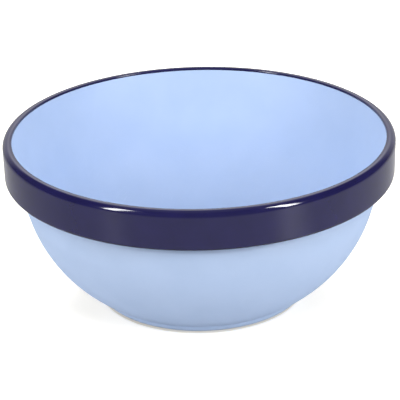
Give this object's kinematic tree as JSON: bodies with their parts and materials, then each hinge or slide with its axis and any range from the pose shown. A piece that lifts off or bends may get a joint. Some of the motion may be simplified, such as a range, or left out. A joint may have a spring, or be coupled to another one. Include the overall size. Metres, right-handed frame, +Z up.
{
  "type": "bowl",
  "caption": "Round serving bowl with a curved light-blue shell, a low foot ring and a glossy navy collar band locked over the rim.",
  "frame": {"origin": "centre of the foot ring's underside, on the surface that the bowl stands on", "axes": "+Z up along the bowl's axis of revolution; X and Y are free, because the bowl is round"},
  "size_m": [0.2, 0.2, 0.087],
  "materials": {
    "shell_blue": "satin moulded",
    "band_navy": "polished moulded"
  },
  "bodies": {
    "root": {"bowl_shell": "shell_blue", "rim_band": "band_navy"}
  },
  "joints": []
}
